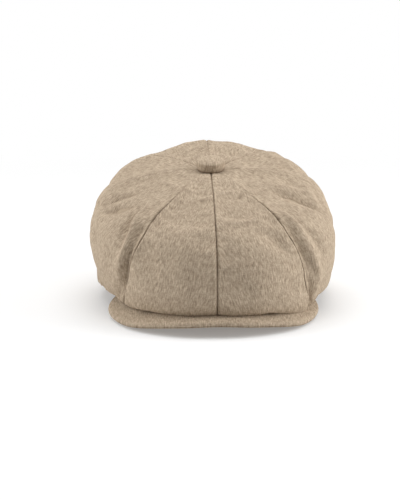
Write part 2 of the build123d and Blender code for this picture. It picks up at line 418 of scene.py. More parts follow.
# How the slack cloth sits: height, azimuth and half width in degrees of each broad swell or dip.
# AT and REACH say how far up the crown it lies, as a share of the way.
HEM_SAG = [(-0.0044, -90, 52), (-0.0085, -50, 13), (-0.0030, -134, 13)]
HEM_SAG_AT, HEM_SAG_REACH, HEM_SAG_START = 0.20, 0.17, 0.08
CREST, CREST_AZIMUTH, CREST_HALF_WIDTH = 0.0058, 90, 30
CREST_NOTCH, CREST_NOTCH_WIDTH = 0.0008, 6
CREST_AT, CREST_REACH = 0.80, 0.15
LEFT_SHOULDER = [(0.0052, 28, 30)]
SHOULDER_AT, SHOULDER_REACH = 0.68, 0.16
SIDE_SWELLS = [(-0.0075, -156, 24), (-0.0030, -26, 16), (0.0066, 22, 20), (-0.0030, 164, 20)]
SWELL_AT, SWELL_REACH = 0.22, 0.10
# Soft unevenness of the crown and the lining: height, and scale of the noise
BROAD_UNEVEN, BROAD_SCALE = 0.0016, 22
FINE_UNEVEN, FINE_SCALE = 0.0007, 60
LINING_UNEVEN, LINING_SCALE = 0.0012, 30
SLACK_START = 0.0035  # the creases grow to their full height this far from a seam


def swells(table, turn):
    """The summed height, round the crown, of the swells and dips in a table."""
    return sum(height * bump(apart(turn, azimuth), width) for height, azimuth, width in table)


def crown_sag(turn, t):
    """How far the cloth sits up or down: low over the peak, high at the back and left shoulder."""
    hem = bump(t - HEM_SAG_AT, HEM_SAG_REACH) * min(1.0, t / HEM_SAG_START)
    crest = CREST * math.exp(-(apart(turn, CREST_AZIMUTH) / CREST_HALF_WIDTH) ** 4)
    crest -= CREST_NOTCH * bump(apart(turn, CREST_AZIMUTH), CREST_NOTCH_WIDTH)
    crest *= bump(t - CREST_AT, CREST_REACH)
    shoulder = swells(LEFT_SHOULDER, turn) * bump(t - SHOULDER_AT, SHOULDER_REACH)
    return swells(HEM_SAG, turn) * hem + crest + shoulder


def crown_lift(turn, t, u, seam, out, strength):
    """The crown's pillowing between seams, its creases, soft unevenness and swollen sides."""
    room = clamp((t - 0.06) / 0.10) * clamp((0.95 - t) / 0.16)  # none at the hem and the button
    place = Vector((math.cos(turn) * out, math.sin(turn) * out, t * UNROLLED_LENGTH))
    uneven = BROAD_UNEVEN * noise.noise(place * BROAD_SCALE)
    uneven += FINE_UNEVEN * noise.noise(place * FINE_SCALE + Vector((5, 5, 5)))
    pillow = PILLOW * (1 - strength * (1 - math.sin(math.pi * u) ** 0.7)) * room
    slack = CREASE_SCALE * crease_lift(turn, t) + uneven
    slack *= room * min(1.0, seam / SLACK_START)
    return pillow + slack + swells(SIDE_SWELLS, turn) * bump(t - SWELL_AT, SWELL_REACH)


FRONT_SEAM_FADE = 0.8  # the front pair of seams loses this share of its depth
FRONT_SEAM_FADE_AT, FRONT_SEAM_FADE_REACH = 0.62, 0.16


def sink_seams(panel, meridians, seams):
    """Presses the seams into a settled panel, and marks how deep in a seam each point lies, as painted
    shade in the 'seam' attribute.
    """
    painted_shade_marks = panel.data.attributes.new("seam", "FLOAT", "POINT")
    for r in range(PANEL_ROWS):
        t = r / (PANEL_ROWS - 1)
        first, last = (seam_turn(seam, t) for seam in seams)
        for c in range(PANEL_COLUMNS + 1):
            u = share_across(c / PANEL_COLUMNS)
            turn = first + (last - first) * u
            here, normal, _ = on_dome(meridians, turn, r)
            seam = seams[u > 0.5]
            seam_shows = SEAM_STRENGTH[seam] * min(1.0, t / 0.05)
            if seam in (FRONT_SEAM, 180 - FRONT_SEAM):
                seam_shows *= 1 - FRONT_SEAM_FADE * clamp((t - FRONT_SEAM_FADE_AT) / FRONT_SEAM_FADE_REACH)
            away = min(u, 1 - u) * (last - first) * here.x
            lip = SEAM_LIP * bump(away - SEAM_ALLOWANCE, SEAM_LIP_WIDTH)
            move = (lip - SEAM_DEPTH * bump(away, SEAM_WIDTH)) * seam_shows
            index = r * (PANEL_COLUMNS + 1) + c
            panel.data.vertices[index].co += move * Vector(
                (normal.x * math.cos(turn), normal.x * math.sin(turn), normal.y)
            )
            # painted shade: darkens the cloth along the seam's groove
            painted_shade_marks.data[index].value = seam_shows * bump(away, SEAM_WIDTH)


LINING_RUCK = 0.0008
LINING_SEAM_DEPTH = 0.0006
LINING_SEAM_WIDTH = 0.0012


def lining_lift(turn, t, _u, seam, out, _strength):
    """The loose lining's rucks and unevenness, and its sunk seams."""
    place = Vector((math.cos(turn) * out, math.sin(turn) * out, t * UNROLLED_LENGTH))
    room = min(1.0, t / 0.1) * min(1.0, (1 - t) / 0.1) * min(1.0, seam / 0.008)
    ruck = LINING_RUCK * math.sin(seam * 260 + 9 * noise.noise(place * 18))
    uneven = LINING_UNEVEN * noise.noise(place * LINING_SCALE)
    return (uneven + ruck) * room - LINING_SEAM_DEPTH * bump(seam, LINING_SEAM_WIDTH)


# ---------------------------------------------------------------- finishes


def new_group(name, inputs, outputs):
    """An empty shader group, with its input and output nodes."""
    group = bpy.data.node_groups.new(name, "ShaderNodeTree")
    for label, kind, value in inputs:
        socket = group.interface.new_socket(name=label, in_out="INPUT", socket_type=kind)
        socket.default_value = value
    for label, kind in outputs:
        group.interface.new_socket(name=label, in_out="OUTPUT", socket_type=kind)
    source = group.nodes.new("NodeGroupInput")
    sink = group.nodes.new("NodeGroupOutput")
    return group, source, sink


def math_node(tree, operation, a, b=None):
    """A sum, product or other step on one or two values, which may be numbers or sockets."""
    node = tree.nodes.new("ShaderNodeMath")
    node.operation = operation
    for socket, value in zip(node.inputs, (a, b)):
        if value is None:
            continue
        if isinstance(value, (int, float)):
            socket.default_value = value
        else:
            tree.links.new(value, socket)
    return node.outputs[0]


def noise_node(tree, vector, scale, detail, roughness=0.5):
    """The value of a noise texture."""
    node = tree.nodes.new("ShaderNodeTexNoise")
    node.inputs["Scale"].default_value = scale
    node.inputs["Detail"].default_value = detail
    node.inputs["Roughness"].default_value = roughness
    tree.links.new(vector, node.inputs["Vector"])
    return node.outputs["Fac"]


def stretched(tree, vector, across, along):
    """The vector scaled so that so many slubs fit in a metre across the cloth and along it."""
    node = tree.nodes.new("ShaderNodeMapping")
    node.vector_type = "POINT"
    node.inputs["Scale"].default_value = (across, along, across)
    tree.links.new(vector, node.inputs["Vector"])
    return node.outputs["Vector"]


def ranged(tree, value, low, high, to_low=0.0, to_high=1.0):
    """A value carried from one range to another, and held to its ends."""
    node = tree.nodes.new("ShaderNodeMapRange")
    node.inputs["From Min"].default_value = low
    node.inputs["From Max"].default_value = high
    node.inputs["To Min"].default_value = to_low
    node.inputs["To Max"].default_value = to_high
    tree.links.new(value, node.inputs["Value"])
    return node.outputs["Result"]


def woven_group():
    """Woven cloth: slubs along the warp, fainter ones across, and the weave's own relief."""
    group, source, sink = new_group(
        "woven cloth",
        [
            ("Vector", "NodeSocketVector", (0, 0, 0)),
            ("Threads per metre", "NodeSocketFloat", 1400.0),
            ("Slubs", "NodeSocketFloat", 1.0),
        ],
        [("Tone", "NodeSocketFloat"), ("Height", "NodeSocketFloat")],
    )
    vector = source.outputs["Vector"]
    warp = noise_node(group, stretched(group, vector, 1150, 210), 1.0, 3.0, 0.65)
    fleck = noise_node(group, stretched(group, vector, 820, 170), 1.0, 1.0, 0.5)
    weft = noise_node(group, stretched(group, vector, 260, 1500), 1.0, 2.0, 0.6)
    heather = noise_node(group, vector, 330.0, 3.0, 0.65)
    cloud = noise_node(group, vector, 34.0, 3.0, 0.5)
    slubs = math_node(group, "ADD", ranged(group, warp, 0.34, 0.66, -0.34, 0.34),
                      ranged(group, weft, 0.3, 0.7, -0.16, 0.16))
    slubs = math_node(group, "ADD", slubs, ranged(group, fleck, 0.57, 0.70, 0.0, 0.32))
    slubs = math_node(group, "ADD", slubs, ranged(group, fleck, 0.30, 0.42, -0.32, 0.0))
    slubs = math_node(group, "MULTIPLY", slubs, source.outputs["Slubs"])
    mottle = math_node(group, "ADD", ranged(group, heather, 0.3, 0.7, -0.2, 0.2),
                       ranged(group, cloud, 0.3, 0.7, -0.10, 0.10))
    tone = math_node(group, "ADD", math_node(group, "ADD", slubs, mottle), 0.5)
    parts = group.nodes.new("ShaderNodeSeparateXYZ")
    group.links.new(vector, parts.inputs[0])
    pitch = math_node(group, "MULTIPLY", source.outputs["Threads per metre"], math.pi)
    over = math_node(group, "SINE", math_node(group, "MULTIPLY", parts.outputs["X"], pitch))
    under = math_node(group, "SINE", math_node(group, "MULTIPLY", parts.outputs["Y"], pitch))
    weave = math_node(group, "MULTIPLY", over, under)
    height = math_node(group, "ADD", math_node(group, "MULTIPLY", weave, 0.35), tone)
    group.links.new(tone, sink.inputs["Tone"])
    group.links.new(height, sink.inputs["Height"])
    return group


def painted_shade_group():
    """Painted shade in sunk and sheltered places, from how the surface lies."""
    group, source, sink = new_group(
        "sheltered places",
        [("Vector", "NodeSocketVector", (0, 0, 0)), ("Amount", "NodeSocketFloat", 1.0)],
        [("Mask", "NodeSocketFloat")],
    )
    geometry = group.nodes.new("ShaderNodeNewGeometry")
    sunk = ranged(group, geometry.outputs["Pointiness"], 0.44, 0.50, 1.0, 0.0)
    cloud = noise_node(group, source.outputs["Vector"], 60.0, 2.0)
    broken = math_node(group, "MULTIPLY", sunk, ranged(group, cloud, 0.2, 0.7, 0.6, 1.0))
    mask = math_node(group, "MULTIPLY", broken, source.outputs["Amount"])
    group.links.new(mask, sink.inputs["Mask"])
    return group


WOVEN = woven_group()
PAINTED_SHADE_GROUP = painted_shade_group()


def linear(value):
    """One channel of a paint-chart colour, 0 to 255, as linear light."""
    value /= 255
    return value / 12.92 if value <= 0.04045 else ((value + 0.055) / 1.055) ** 2.4


def rgb(red, green, blue):
    """A paint-chart colour, 0 to 255, as linear light."""
    return (linear(red), linear(green), linear(blue), 1.0)


# Painted shade: sunk places, seam grooves and the button's underside darken the cloth's colour towards the
# tint below
PAINTED_SHADE_STRENGTH = 0.5  # how strongly the painted shade darkens sunk places
PAINTED_SHADE_TINT = (0.35, 0.30, 0.26, 1.0)
WEAVE_RELIEF = 0.0004


def cloth_material(name, dark, light, roughness=0.9, sheen=0.25, slubs=1.0, threads=1400.0,
                   relief=0.5, use_uv=True):
    """A woven finish whose threads run along the piece's own UVs, or along its axes."""
    material = bpy.data.materials.new(name)
    material.use_nodes = True
    tree = material.node_tree
    shader = tree.nodes["Principled BSDF"]
    shader.inputs["Roughness"].default_value = roughness
    shader.inputs["Specular IOR Level"].default_value = 0.25
    shader.inputs["Sheen Weight"].default_value = sheen
    shader.inputs["Sheen Roughness"].default_value = 0.5
    shader.inputs["Sheen Tint"].default_value = light
    place = tree.nodes.new("ShaderNodeTexCoord")
    vector = place.outputs["UV" if use_uv else "Object"]
    weave = tree.nodes.new("ShaderNodeGroup")
    weave.node_tree = WOVEN
    weave.inputs["Threads per metre"].default_value = threads
    weave.inputs["Slubs"].default_value = slubs
    tree.links.new(vector, weave.inputs["Vector"])
    colour = tree.nodes.new("ShaderNodeMix")
    colour.data_type = "RGBA"
    colour.inputs["A"].default_value = dark
    colour.inputs["B"].default_value = light
    tree.links.new(weave.outputs["Tone"], colour.inputs["Factor"])
    # Painted shade: sunk places and the 'seam' attribute's marks multiply the colour towards a dark tint
    shade = tree.nodes.new("ShaderNodeGroup")
    shade.node_tree = PAINTED_SHADE_GROUP
    shade.inputs["Amount"].default_value = PAINTED_SHADE_STRENGTH
    tree.links.new(place.outputs["Object"], shade.inputs["Vector"])
    seam = tree.nodes.new("ShaderNodeAttribute")
    seam.attribute_name = "seam"
    sheltered = math_node(tree, "MAXIMUM", shade.outputs["Mask"], seam.outputs["Fac"])
    painted_shade_mix = tree.nodes.new("ShaderNodeMix")
    painted_shade_mix.data_type = "RGBA"
    painted_shade_mix.blend_type = "MULTIPLY"
    painted_shade_mix.inputs["B"].default_value = PAINTED_SHADE_TINT
    tree.links.new(sheltered, painted_shade_mix.inputs["Factor"])
    tree.links.new(colour.outputs["Result"], painted_shade_mix.inputs["A"])
    tree.links.new(painted_shade_mix.outputs["Result"], shader.inputs["Base Color"])
    relief_node = tree.nodes.new("ShaderNodeBump")
    relief_node.inputs["Strength"].default_value = relief
    relief_node.inputs["Distance"].default_value = WEAVE_RELIEF
    tree.links.new(weave.outputs["Height"], relief_node.inputs["Height"])
    tree.links.new(relief_node.outputs["Normal"], shader.inputs["Normal"])
    return material


OUTER = cloth_material("heathered cloth", rgb(137, 120, 101), rgb(197, 179, 156))
LINING = cloth_material("lining satin", rgb(150, 132, 110), rgb(176, 158, 134),
                        roughness=0.42, sheen=0.1, slubs=0.3, threads=3200.0, relief=0.15)
SWEAT = cloth_material("sweatband twill", rgb(120, 104, 85), rgb(148, 130, 108),
                       roughness=0.8, sheen=0.15, slubs=0.4, threads=1800.0)
STIFF = cloth_material("interlining", rgb(214, 210, 196), rgb(236, 232, 220),
                       sheen=0.0, slubs=0.3, threads=1500.0, use_uv=False)
TAPE = cloth_material("seam tape", rgb(112, 96, 78), rgb(136, 118, 96),
                      roughness=0.55, sheen=0.1, slubs=0.2, threads=2400.0)
LABEL = cloth_material("label", rgb(214, 206, 190), rgb(236, 230, 216),
                       roughness=0.45, sheen=0.1, slubs=0.2, threads=3000.0, relief=0.4)
MOTTLE = 0.12  # how much darker the dark places of a plain finish are
GLOSS_SPREAD = 0.08


def plain_material(name, colour, roughness, metallic=0.0):
    """A pressed or smooth finish with a little unevenness in its colour and gloss."""
    material = bpy.data.materials.new(name)
    material.use_nodes = True
    tree = material.node_tree
    shader = tree.nodes["Principled BSDF"]
    shader.inputs["Metallic"].default_value = metallic
    place = tree.nodes.new("ShaderNodeTexCoord")
    cloud = noise_node(tree, place.outputs["Object"], 420.0, 4.0)
    tone = tree.nodes.new("ShaderNodeMix")
    tone.data_type = "RGBA"
    tone.inputs["A"].default_value = [c * (1 - MOTTLE) for c in colour[:3]] + [1.0]
    tone.inputs["B"].default_value = colour
    tree.links.new(cloud, tone.inputs["Factor"])
    tree.links.new(tone.outputs["Result"], shader.inputs["Base Color"])
    gloss = ranged(tree, cloud, 0.2, 0.8, roughness - GLOSS_SPREAD, roughness + GLOSS_SPREAD)
    tree.links.new(gloss, shader.inputs["Roughness"])
    relief = tree.nodes.new("ShaderNodeBump")
    relief.inputs["Strength"].default_value = 0.15
    relief.inputs["Distance"].default_value = 0.0001
    tree.links.new(cloud, relief.inputs["Height"])
    tree.links.new(relief.outputs["Normal"], shader.inputs["Normal"])
    return material


STEEL = plain_material("plated steel", rgb(196, 194, 190), 0.34, 1.0)
BOARD = plain_material("peak board", rgb(222, 218, 206), 0.6)
THREAD = plain_material("thread", rgb(176, 158, 134), 0.7)


# ---------------------------------------------------------------- crown and lining


def sewn_weights(obj, columns, rows):
    """Full hold along a panel's edges, fading to a slight hold in its middle."""
    group = obj.vertex_groups.new(name="sewn")
    for r in range(rows):
        for c in range(columns + 1):
            edge = min(c, columns - c) / SEWN_COLUMNS
            end = min((r - SEWN_HEM_ROWS) / SEWN_HEM_ROWS, (rows - 1 - r) / SEWN_TOP_ROWS)
            hold = max(SLIGHT_HOLD, 1.0 - max(0.0, min(edge, end)))
            group.add([r * (columns + 1) + c], hold, "REPLACE")


def settle(panels):
    """Lets the slack cloth find its own rucks between its sewn edges, within a few millimetres."""
    scene = bpy.context.scene
    starts = {}
    for panel in panels:
        starts[panel.name] = [v.co.copy() for v in panel.data.vertices]
        cloth = panel.modifiers.new("Cloth", "CLOTH")
        cloth.settings.quality = 6
        cloth.settings.mass = 0.25
        cloth.settings.tension_stiffness = 30
        cloth.settings.compression_stiffness = 30
        cloth.settings.shear_stiffness = 12
        cloth.settings.bending_stiffness = 0.6
        cloth.settings.vertex_group_mass = "sewn"
        cloth.settings.shrink_min = -0.018
        cloth.settings.use_pressure = True
        cloth.settings.uniform_pressure_force = 4
        cloth.settings.effector_weights.gravity = 0.08
        cloth.collision_settings.use_collision = False
        cloth.point_cache.frame_end = SETTLE_FRAMES
    for moment in range(1, SETTLE_FRAMES + 1):
        scene.frame_set(moment)
    depsgraph = bpy.context.evaluated_depsgraph_get()
    for panel in panels:
        settled = [v.co.copy() for v in panel.evaluated_get(depsgraph).data.vertices]
        panel.modifiers.clear()
        for vertex, start, end in zip(panel.data.vertices, starts[panel.name], settled):
            move = end - start
            if move.length > SETTLE_CAP:
                move *= SETTLE_CAP / move.length
            vertex.co = start + move
    scene.frame_set(1)


def smooth_wall(panel, thickness):
    """Smooths a panel and gives it its thickness, inwards from its outer face."""
    smooth = panel.modifiers.new("Smooth", "SUBSURF")
    smooth.levels = smooth.render_levels = 1
    wall = panel.modifiers.new("Thickness", "SOLIDIFY")
    wall.thickness = thickness
    wall.offset = -1
    apply_modifiers(panel)


def make_crown():
    """The eight panels of outer cloth, settled together and then pressed in along their seams."""
    panels = []
    meridians = dome(CROWN_RINGS, PANEL_ROWS)
    for name, seams in PANELS.items():
        points, uvs = panel_points(meridians, seams, PANEL_COLUMNS, PANEL_ROWS, crown_lift, slack=True)
        panel = cloth_grid(f"crown_panel_{name}", points, uvs)
        sewn_weights(panel, PANEL_COLUMNS, PANEL_ROWS)
        panels.append(panel)
    cuts = [flat_cut(panel) for panel in panels]
    settle(panels)
    for panel, cut, (name, seams) in zip(panels, cuts, PANELS.items()):
        panel.vertex_groups.clear()
        sink_seams(panel, meridians, seams)
        smooth_wall(panel, PANEL_CLOTH)
        finish_piece(panel, OUTER, "cap", "outer_cloth", f"crown_{name}")


def make_lining():
    """The eight gores of satin inside the crown."""
    meridians = dome(LINING_RINGS, LINING_ROWS)
    for name, seams in PANELS.items():
        points, uvs = panel_points(meridians, seams, LINING_COLUMNS, LINING_ROWS, lining_lift)
        panel = cloth_grid(f"lining_gore_{name}", points, uvs)
        smooth_wall(panel, LINING_CLOTH)
        finish_piece(panel, LINING, "cap", "lining_satin", f"lining_{name}")


# ---------------------------------------------------------------- band and its trim


def on_band(outwards, height, turn):
    """A point that far out from the head and that far up the band, turn round the oval."""
    x = (HEAD_HALF_WIDTH + outwards) * math.cos(turn)
    y = HEAD_CENTRE_Y + (HEAD_HALF_LENGTH + outwards) * math.sin(turn)
    return Vector((x, y, band_z(y, height)))


def band_piece(name, profile, start=0.0, end=math.tau, steps=192):
    """A profile of (distance out, height) carried round the head's oval."""
    rows, uvs = [], []
    along = 0.0
    last = None
    loop = profile + profile[:1]
    reach = [0.0]
    for a, b in zip(loop, loop[1:]):
        reach.append(reach[-1] + math.dist(a, b))
    for s in range(steps + 1):
        turn = start + (end - start) * s / steps
        here = on_band(0, 0, turn)
        along += (here - last).length if last else 0.0
        last = here
        rows.append([on_band(out, height, turn) for out, height in loop])
        uvs.append([(along, r) for r in reach])
    return cloth_grid(name, rows, uvs, closed=True)


def close_ends(obj):
    """Fills the two open ends of a strip."""
    wake(obj)
    bpy.ops.object.mode_set(mode="EDIT")
    bpy.ops.mesh.select_all(action="DESELECT")
    bpy.ops.mesh.select_mode(type="EDGE")
    bpy.ops.mesh.select_non_manifold()
    bpy.ops.mesh.fill_holes(sides=0)
    bpy.ops.mesh.select_all(action="SELECT")
    bpy.ops.object.mode_set(mode="OBJECT")


def rounded(obj, width):
    """Rounds a strip's edges."""
    edge = obj.modifiers.new("Soft edges", "BEVEL")
    edge.width = width
    edge.segments = 2
    edge.angle_limit = math.radians(40)
    apply_modifiers(obj)
    face_outwards(obj)


STITCH_LENGTH = 0.0030
STITCH_THICKNESS = 0.0006
# A stitch's four rings: share of its length from the middle, share of its thickness, and lift
STITCH_RINGS = ((-0.5, 0.35, -0.4), (-0.3, 0.9, 0.5), (0.3, 0.9, 0.5), (0.5, 0.35, -0.4))
STITCH_SIDES = 6
STITCH_COUNT = 132
STITCH_OUTWARDS = -0.0001
UPPER_STITCHES = 0.0215
LOWER_STITCHES = 0.0028


def stitches(name, places):
    """A row of thread stitches as one piece: each place is (middle, along, outwards)."""
    points, faces = [], []
    for middle, along, out in places:
        side = along.cross(out).normalized()
        base = len(points)
        for share, size, lift in STITCH_RINGS:
            for k in range(STITCH_SIDES):
                turn = math.tau * k / STITCH_SIDES
                spoke = side * math.cos(turn) + out * (math.sin(turn) + lift)
                points.append(middle + along * STITCH_LENGTH * share + spoke * STITCH_THICKNESS * size / 2)
        for ring in range(len(STITCH_RINGS) - 1):
            for k in range(STITCH_SIDES):
                a = base + ring * STITCH_SIDES + k
                b = base + ring * STITCH_SIDES + (k + 1) % STITCH_SIDES
                faces.append((a, b, b + STITCH_SIDES, a + STITCH_SIDES))
        last = base + (len(STITCH_RINGS) - 1) * STITCH_SIDES
        faces.append(tuple(base + k for k in reversed(range(STITCH_SIDES))))
        faces.append(tuple(last + k for k in range(STITCH_SIDES)))
    mesh = bpy.data.meshes.new(name)
    mesh.from_pydata(points, [], faces)
    obj = bpy.data.objects.new(name, mesh)
    bpy.context.collection.objects.link(obj)
    face_outwards(obj)
    return obj


def band_stitches(name, height):
    """A row of stitches round the sweatband's inner face, that far up the band."""
    places = []
    for k in range(STITCH_COUNT):
        turn = math.tau * (k + 0.5) / STITCH_COUNT
        here = on_band(STITCH_OUTWARDS, height, turn)
        along = (on_band(STITCH_OUTWARDS, height, turn + 0.01) - here).normalized()
        out = Vector((math.cos(turn) / HEAD_HALF_WIDTH, math.sin(turn) / HEAD_HALF_LENGTH, 0)).normalized()
        places.append((here, along, -out))
    finish_piece(stitches(name, places), THREAD, "cap", "seam_tape")


INTERLINING_BOTTOM = 0.0013
INTERLINING_TOP = 0.022
SWEATBAND_FOLD_OUT = 0.0023  # the sweatband turns outwards under the interlining
SWEATBAND_FOLD_TOP = 0.0011
BAND_EDGE = 0.0005
SWEATBAND_EDGE = 0.0004


def make_band():
    """The headband, its stiff interlining, and the sweatband with its two rows of stitches."""
    headband = band_piece(
        "headband_cloth",
        [(BAND_IN, 0.0), (BAND_OUT, 0.0), (BAND_OUT, 0.008), (BAND_OUT, 0.016),
         (BAND_OUT, BAND_HEIGHT), (BAND_IN, BAND_HEIGHT), (BAND_IN, 0.012)],
    )
    rounded(headband, BAND_EDGE)
    finish_piece(headband, OUTER, "cap", "outer_cloth", "headband")
    interlining = band_piece(
        "interlining_strip",
        [(INTERLINING_IN, INTERLINING_BOTTOM), (INTERLINING_OUT, INTERLINING_BOTTOM),
         (INTERLINING_OUT, INTERLINING_TOP), (INTERLINING_IN, INTERLINING_TOP)],
    )
    face_outwards(interlining)
    finish_piece(interlining, STIFF, "cap", "interlining", "headband_interlining")
    sweatband = band_piece(
        "sweatband_cloth",
        [(0.0, 0.0), (SWEATBAND_FOLD_OUT, 0.0), (SWEATBAND_FOLD_OUT, SWEATBAND_FOLD_TOP),
         (SWEATBAND_OUT, SWEATBAND_FOLD_TOP), (SWEATBAND_OUT, 0.016),
         (SWEATBAND_OUT, SWEATBAND_HEIGHT), (0.0, SWEATBAND_HEIGHT), (0.0, 0.017), (0.0, 0.009)],
    )
    rounded(sweatband, SWEATBAND_EDGE)
    finish_piece(sweatband, SWEAT, "cap", "sweatband_cloth", "sweatband")
    band_stitches("sweatband_upper_stitches", UPPER_STITCHES)
    band_stitches("sweatband_lower_stitches", LOWER_STITCHES)


def back_strip(name, thickness, middle_x, width, bottom, top, steps):
    """A strip of trim against the sweatband's inner face at the back of the head."""
    low = math.acos((middle_x + width / 2) / HEAD_HALF_WIDTH)
    high = math.acos((middle_x - width / 2) / HEAD_HALF_WIDTH)
    strip = band_piece(
        name, [(-thickness, bottom), (0.0, bottom), (0.0, top), (-thickness, top)], low, high, steps
    )
    close_ends(strip)
    rounded(strip, thickness * 0.4)
    return strip


def make_trim():
    """The tape over the sweatband's join, and the blank label beside it."""
    tape = back_strip("back_tape", thickness=0.0007, middle_x=0.0, width=0.012,
                      bottom=0.0005, top=0.0235, steps=8)
    finish_piece(tape, TAPE, "cap", "seam_tape", "back_seam_tape")
    label = back_strip("blank_label", thickness=0.0005, middle_x=0.030, width=0.030,
                       bottom=0.005, top=0.020, steps=16)
    finish_piece(label, LABEL, "cap", "label_cloth", "size_label")


# ---------------------------------------------------------------- peak

PEAK_NOSE = Vector((0.0, -0.149, 0.014))
PEAK_SLOPE = math.radians(12)
PEAK_ARCH = 0.213
# The rim's outline on the wearer's left, from the tip to beside the nose
PEAK_CORNERS = [(0.076, -0.038), (0.0955, -0.060), (0.076, -0.117), (0.0345, -0.1445)]
PEAK_THICKNESS = 0.004
PEAK_CLOTH = 0.0009
PEAK_GAP = 0.0008  # between the headband and the peak's covers
BOARD_THICKNESS = 0.0014
BOARD_DEPTH = 0.0011
PEAK_STATIONS = 120
PEAK_ROWS = 22
# How far back from the rim each sheet ends before it turns
TOP_MARGIN = 0.0026
INNER_MARGIN = 0.0030
# How the covers turn at the rim: share of the way from the band, distance back, and depth
TOP_TURN = [(1, 0.0016, 0.00008), (1, 0.0008, 0.0004), (1, 0.0002, 0.0010), (1, 0.0, 0.0018),
            (1, 0.0002, 0.0026), (1, 0.0008, 0.0031), (1, 0.0016, 0.0033)]
UNDER_TURN = [(1, 0.0020, 0.0038), (1, 0.0014, 0.0034)]


def peak_z(x, y, depth=0.0):
    """Height of the peak's arched, sloping sheet, that far under its upper face."""
    radius = PEAK_ARCH - depth
    drop = PEAK_ARCH - math.sqrt(radius**2 - x**2)
    return PEAK_NOSE.z + (y - PEAK_NOSE.y) * math.tan(PEAK_SLOPE) - drop / math.cos(PEAK_SLOPE)


def peak_rim():
    """The outline from the left tip round the nose to the right tip."""
    left = [Vector(p) for p in PEAK_CORNERS]
    right = [Vector((-p.x, p.y)) for p in reversed(left)]
    return evenly(smooth_line([*left, PEAK_NOSE.to_2d(), *right], 24), PEAK_STATIONS)[0]


def peak_sheet(name, section):
    """A sheet over the peak. section gives (share from band to rim, distance back from it, depth)."""
    rows, uvs = [], []
    for rim in peak_rim():
        turn = math.atan2((rim.y - HEAD_CENTRE_Y) / HEAD_HALF_LENGTH, rim.x / HEAD_HALF_WIDTH)
        seam = on_band(BAND_OUT + PEAK_GAP, 0, turn).to_2d()
        run = rim - seam
        row, uv = [], []
        for share, back, depth in section:
            place = seam + run * share - run.normalized() * back
            row.append(Vector((place.x, place.y, peak_z(place.x, place.y, depth))))
            uv.append((place.x, place.y - depth))
        rows.append(row)
        uvs.append(uv)
    return cloth_grid(name, rows, uvs)


def thicken(sheet, thickness, inside=False):
    """Gives a sheet of the peak its thickness, below it. One whose rim curls up needs inside."""
    face_outwards(sheet, inside)
    wall = sheet.modifiers.new("Thickness", "SOLIDIFY")
    wall.thickness = thickness
    wall.offset = -1
    apply_modifiers(sheet)


def make_peak():
    """The peak's stiff board between its upper and under cloth."""
    shares = [k / PEAK_ROWS for k in range(PEAK_ROWS + 1)]
    upper = [(0, 0, 0.0)] + [(share, TOP_MARGIN, 0.0) for share in shares[1:]] + TOP_TURN
    top = peak_sheet("peak_upper_cloth", upper)
    thicken(top, PEAK_CLOTH)
    finish_piece(top, OUTER, "peak", "outer_cloth", "peak_top_cover")
    lower = [(0, 0, PEAK_THICKNESS)] + [(share, INNER_MARGIN, PEAK_THICKNESS) for share in shares[1:]]
    under = peak_sheet("peak_under_cloth", lower + UNDER_TURN)
    thicken(under, PEAK_CLOTH, inside=True)
    finish_piece(under, OUTER, "peak", "outer_cloth", "peak_under_cover")
    board = peak_sheet("peak_stiffener", [(share, INNER_MARGIN, BOARD_DEPTH) for share in shares])
    thicken(board, BOARD_THICKNESS)
    finish_piece(board, BOARD, "peak", "peak_board", "peak_board")


# ---------------------------------------------------------------- button

BUTTON_RADIUS = 0.0133
BUTTON_DEPTH = 0.0084
BUTTON_MIDDLE = 0.0045  # height of the middle of its side above its seat
BUTTON_PITCH = math.radians(13)
BUTTON_SEAT = Vector((0, 0, 0.1242))
# How the top rises from its edge to its middle: width and rise of each ring
BUTTON_TOP = ((0.0003, 0.0003), (0.0014, 0.0010), (0.0026, 0.0008), (0.0035, 0.0004), (0.0030, 0.0001))
BUTTON_BACK = (0.0012, 0.0030, 0.0020)
BUTTON_UNEVEN = 0.012
BUTTON_SHADE = 0.8  # how dark the painted shade is under the rim, where the cloth gathers
SHADE_TOP = 0.0036
SHADE_RUN = 0.0022


def select_faces(obj, facing):
    """Selects the faces that point up (facing 1) or down (facing -1), and enters edit mode."""
    bpy.ops.object.mode_set(mode="EDIT")
    bpy.ops.mesh.select_mode(type="FACE")
    bpy.ops.mesh.select_all(action="DESELECT")
    bpy.ops.object.mode_set(mode="OBJECT")
    for face in obj.data.polygons:
        face.select = face.normal.z * facing > 0.9
    bpy.ops.object.mode_set(mode="EDIT")


